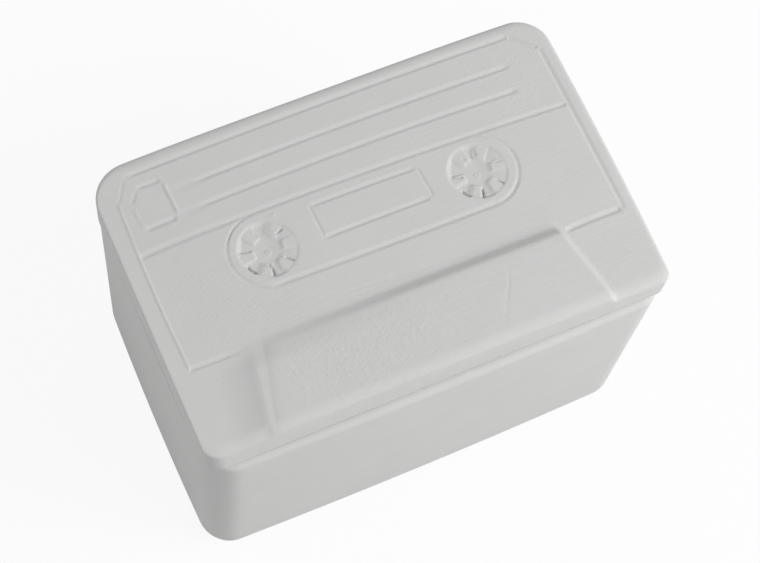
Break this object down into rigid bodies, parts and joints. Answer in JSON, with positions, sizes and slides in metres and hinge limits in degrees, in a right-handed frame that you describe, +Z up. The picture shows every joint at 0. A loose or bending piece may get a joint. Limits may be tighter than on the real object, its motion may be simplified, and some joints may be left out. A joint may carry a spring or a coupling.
{
  "type": "lidded ceramic box",
  "caption": "Deep rectangular ceramic box with rounded corners and a loose lift-off lid carved in relief like the face of an audio tape cassette.",
  "frame": {"origin": "centre of the foot, on the surface that the box stands on", "axes": "+Z up out of the mouth, +X along the long side, +Y from the front, where the raised head block is, to the back"},
  "size_m": [0.152, 0.1006, 0.1062],
  "materials": {
    "bisque": "unglazed white bisque, matte, with fine sponge and sanding marks"
  },
  "bodies": {
    "box": {"box": "bisque"},
    "lid": {"lid": "bisque"}
  },
  "joints": [
    {"name": "lid_lift", "type": "slide", "parent": "box", "child": "lid", "axis": [0, 0, 1], "range_m": [0, 0.12]}
  ]
}
